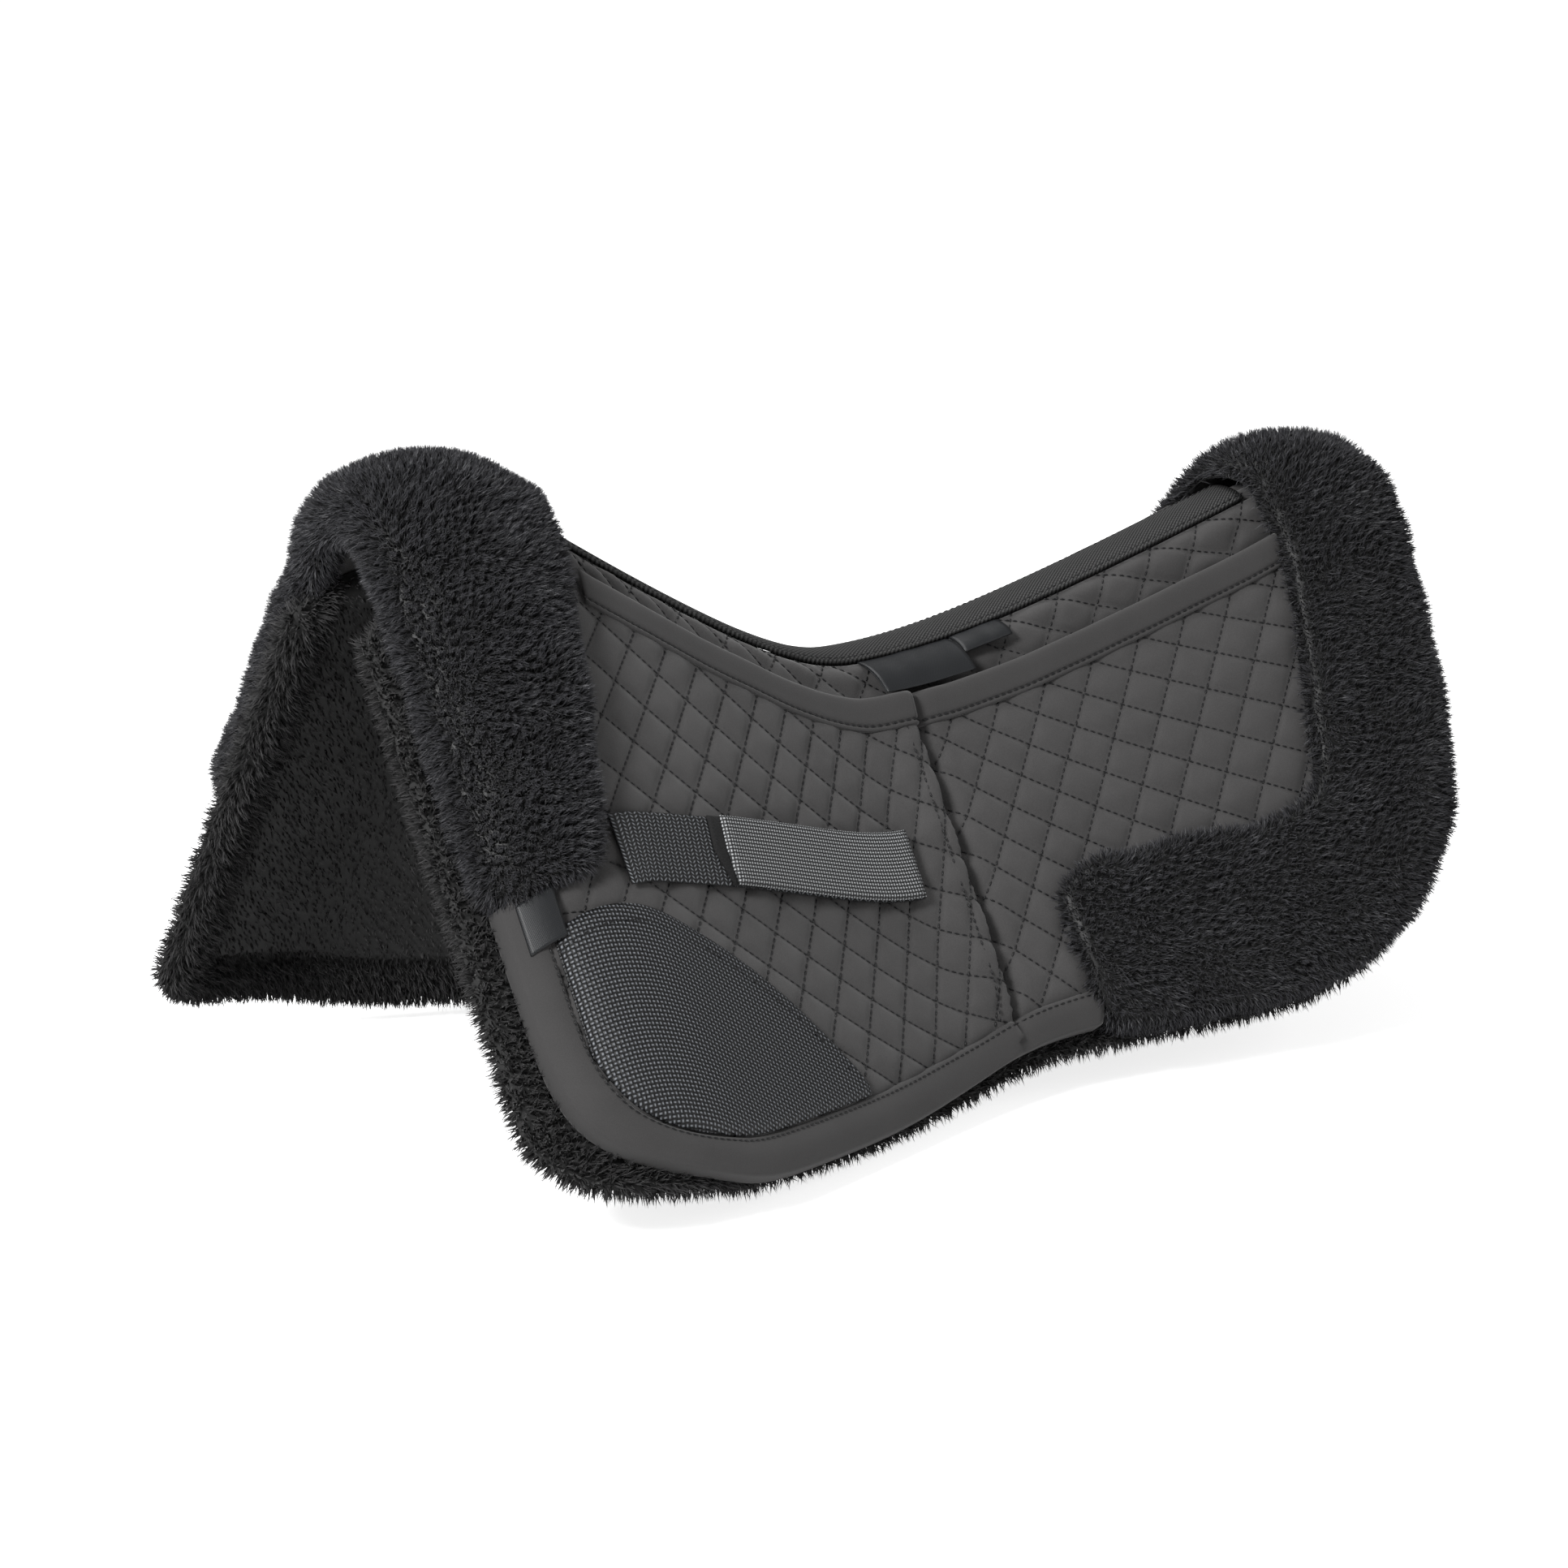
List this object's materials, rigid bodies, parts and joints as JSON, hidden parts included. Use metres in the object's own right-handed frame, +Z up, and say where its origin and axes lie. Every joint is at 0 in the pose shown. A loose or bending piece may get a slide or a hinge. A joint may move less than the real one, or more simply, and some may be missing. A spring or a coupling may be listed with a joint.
{
  "type": "saddle half pad",
  "caption": "Fleece-lined saddle half pad with quilted panels, taped spine, fleece rolls at pommel and cantle, shim pockets, removable shims and girth keeper straps.",
  "frame": {"origin": "on the underside of the spine band at its lowest point, where it lies along the horse's back", "axes": "+X to the rear (cantle), +Z up, the near (left) side of the horse is -Y"},
  "size_m": [0.644, 0.427, 0.3527],
  "materials": {
    "quilted_fabric": "matt, diamond quilted",
    "fleece": "deep pile",
    "fleece_lining": "shorn pile",
    "binding_fabric": "matt, folded",
    "webbing": "twill woven tape",
    "ballistic_fabric": "coarse basket weave",
    "strap_webbing": "woven webbing",
    "hook_fastener": "hook tape",
    "foam": "soft closed-cell foam",
    "label": "satin label"
  },
  "bodies": {
    "spine": {"spine_band": "quilted_fabric", "spine_tape": "webbing", "pommel_crown": "fleece", "cantle_crown": "fleece", "size_label_loop": "label", "origin_label_tab": "label"},
    "near_panel": {"near_yoke": "quilted_fabric", "near_pommel_yoke": "fleece", "near_cantle_yoke": "fleece", "near_quilt": "quilted_fabric", "near_lining": "fleece_lining", "near_front_pocket": "quilted_fabric", "near_rear_pocket": "quilted_fabric", "near_front_pocket_binding": "binding_fabric", "near_rear_pocket_binding": "binding_fabric", "near_edge_binding": "binding_fabric", "near_wear_patch": "ballistic_fabric", "near_pommel_roll": "fleece", "near_cantle_trim": "fleece", "near_strap_base": "strap_webbing", "near_side_tab": "label"},
    "near_strap_flap": {"near_strap_flap": "strap_webbing", "near_strap_hook": "hook_fastener"},
    "near_front_shim": {"near_front_shim": "foam"},
    "near_rear_shim": {"near_rear_shim": "foam"},
    "off_panel": {"off_yoke": "quilted_fabric", "off_pommel_yoke": "fleece", "off_cantle_yoke": "fleece", "off_quilt": "quilted_fabric", "off_lining": "fleece_lining", "off_front_pocket": "quilted_fabric", "off_rear_pocket": "quilted_fabric", "off_front_pocket_binding": "binding_fabric", "off_rear_pocket_binding": "binding_fabric", "off_edge_binding": "binding_fabric", "off_wear_patch": "ballistic_fabric", "off_pommel_roll": "fleece", "off_cantle_trim": "fleece", "off_strap_base": "strap_webbing", "off_side_tab": "label"},
    "off_strap_flap": {"off_strap_flap": "strap_webbing", "off_strap_hook": "hook_fastener"},
    "off_front_shim": {"off_front_shim": "foam"},
    "off_rear_shim": {"off_rear_shim": "foam"}
  },
  "joints": [
    {"name": "near_fold", "type": "hinge", "parent": "spine", "child": "near_panel", "pos_m": [0, -0.016, 0.08], "axis": [-1, 0, 0], "range_deg": [-5, 15], "deforming": ["near_yoke", "near_pommel_yoke", "near_cantle_yoke", "size_label_loop", "origin_label_tab"]},
    {"name": "near_front_shim_slide", "type": "slide", "parent": "near_panel", "child": "near_front_shim", "axis": [0, 0.5446, 0.8387], "range_m": [0, 0.052]},
    {"name": "near_rear_shim_slide", "type": "slide", "parent": "near_panel", "child": "near_rear_shim", "axis": [0, 0.5446, 0.8387], "range_m": [0, 0.052]},
    {"name": "near_strap_open", "type": "hinge", "parent": "near_panel", "child": "near_strap_flap", "pos_m": [-0.013, -0.09319, -0.07804], "axis": [-0.2139, 0.5174, 0.8286], "range_deg": [0, 150]},
    {"name": "off_fold", "type": "hinge", "parent": "spine", "child": "off_panel", "pos_m": [0, 0.016, 0.08], "axis": [1, 0, 0], "range_deg": [-5, 15], "deforming": ["off_yoke", "off_pommel_yoke", "off_cantle_yoke"]},
    {"name": "off_front_shim_slide", "type": "slide", "parent": "off_panel", "child": "off_front_shim", "axis": [0, -0.5446, 0.8387], "range_m": [0, 0.052]},
    {"name": "off_rear_shim_slide", "type": "slide", "parent": "off_panel", "child": "off_rear_shim", "axis": [0, -0.5446, 0.8387], "range_m": [0, 0.052]},
    {"name": "off_strap_open", "type": "hinge", "parent": "off_panel", "child": "off_strap_flap", "pos_m": [-0.013, 0.09319, -0.07804], "axis": [0.2139, 0.5174, -0.8286], "range_deg": [0, 150]}
  ]
}
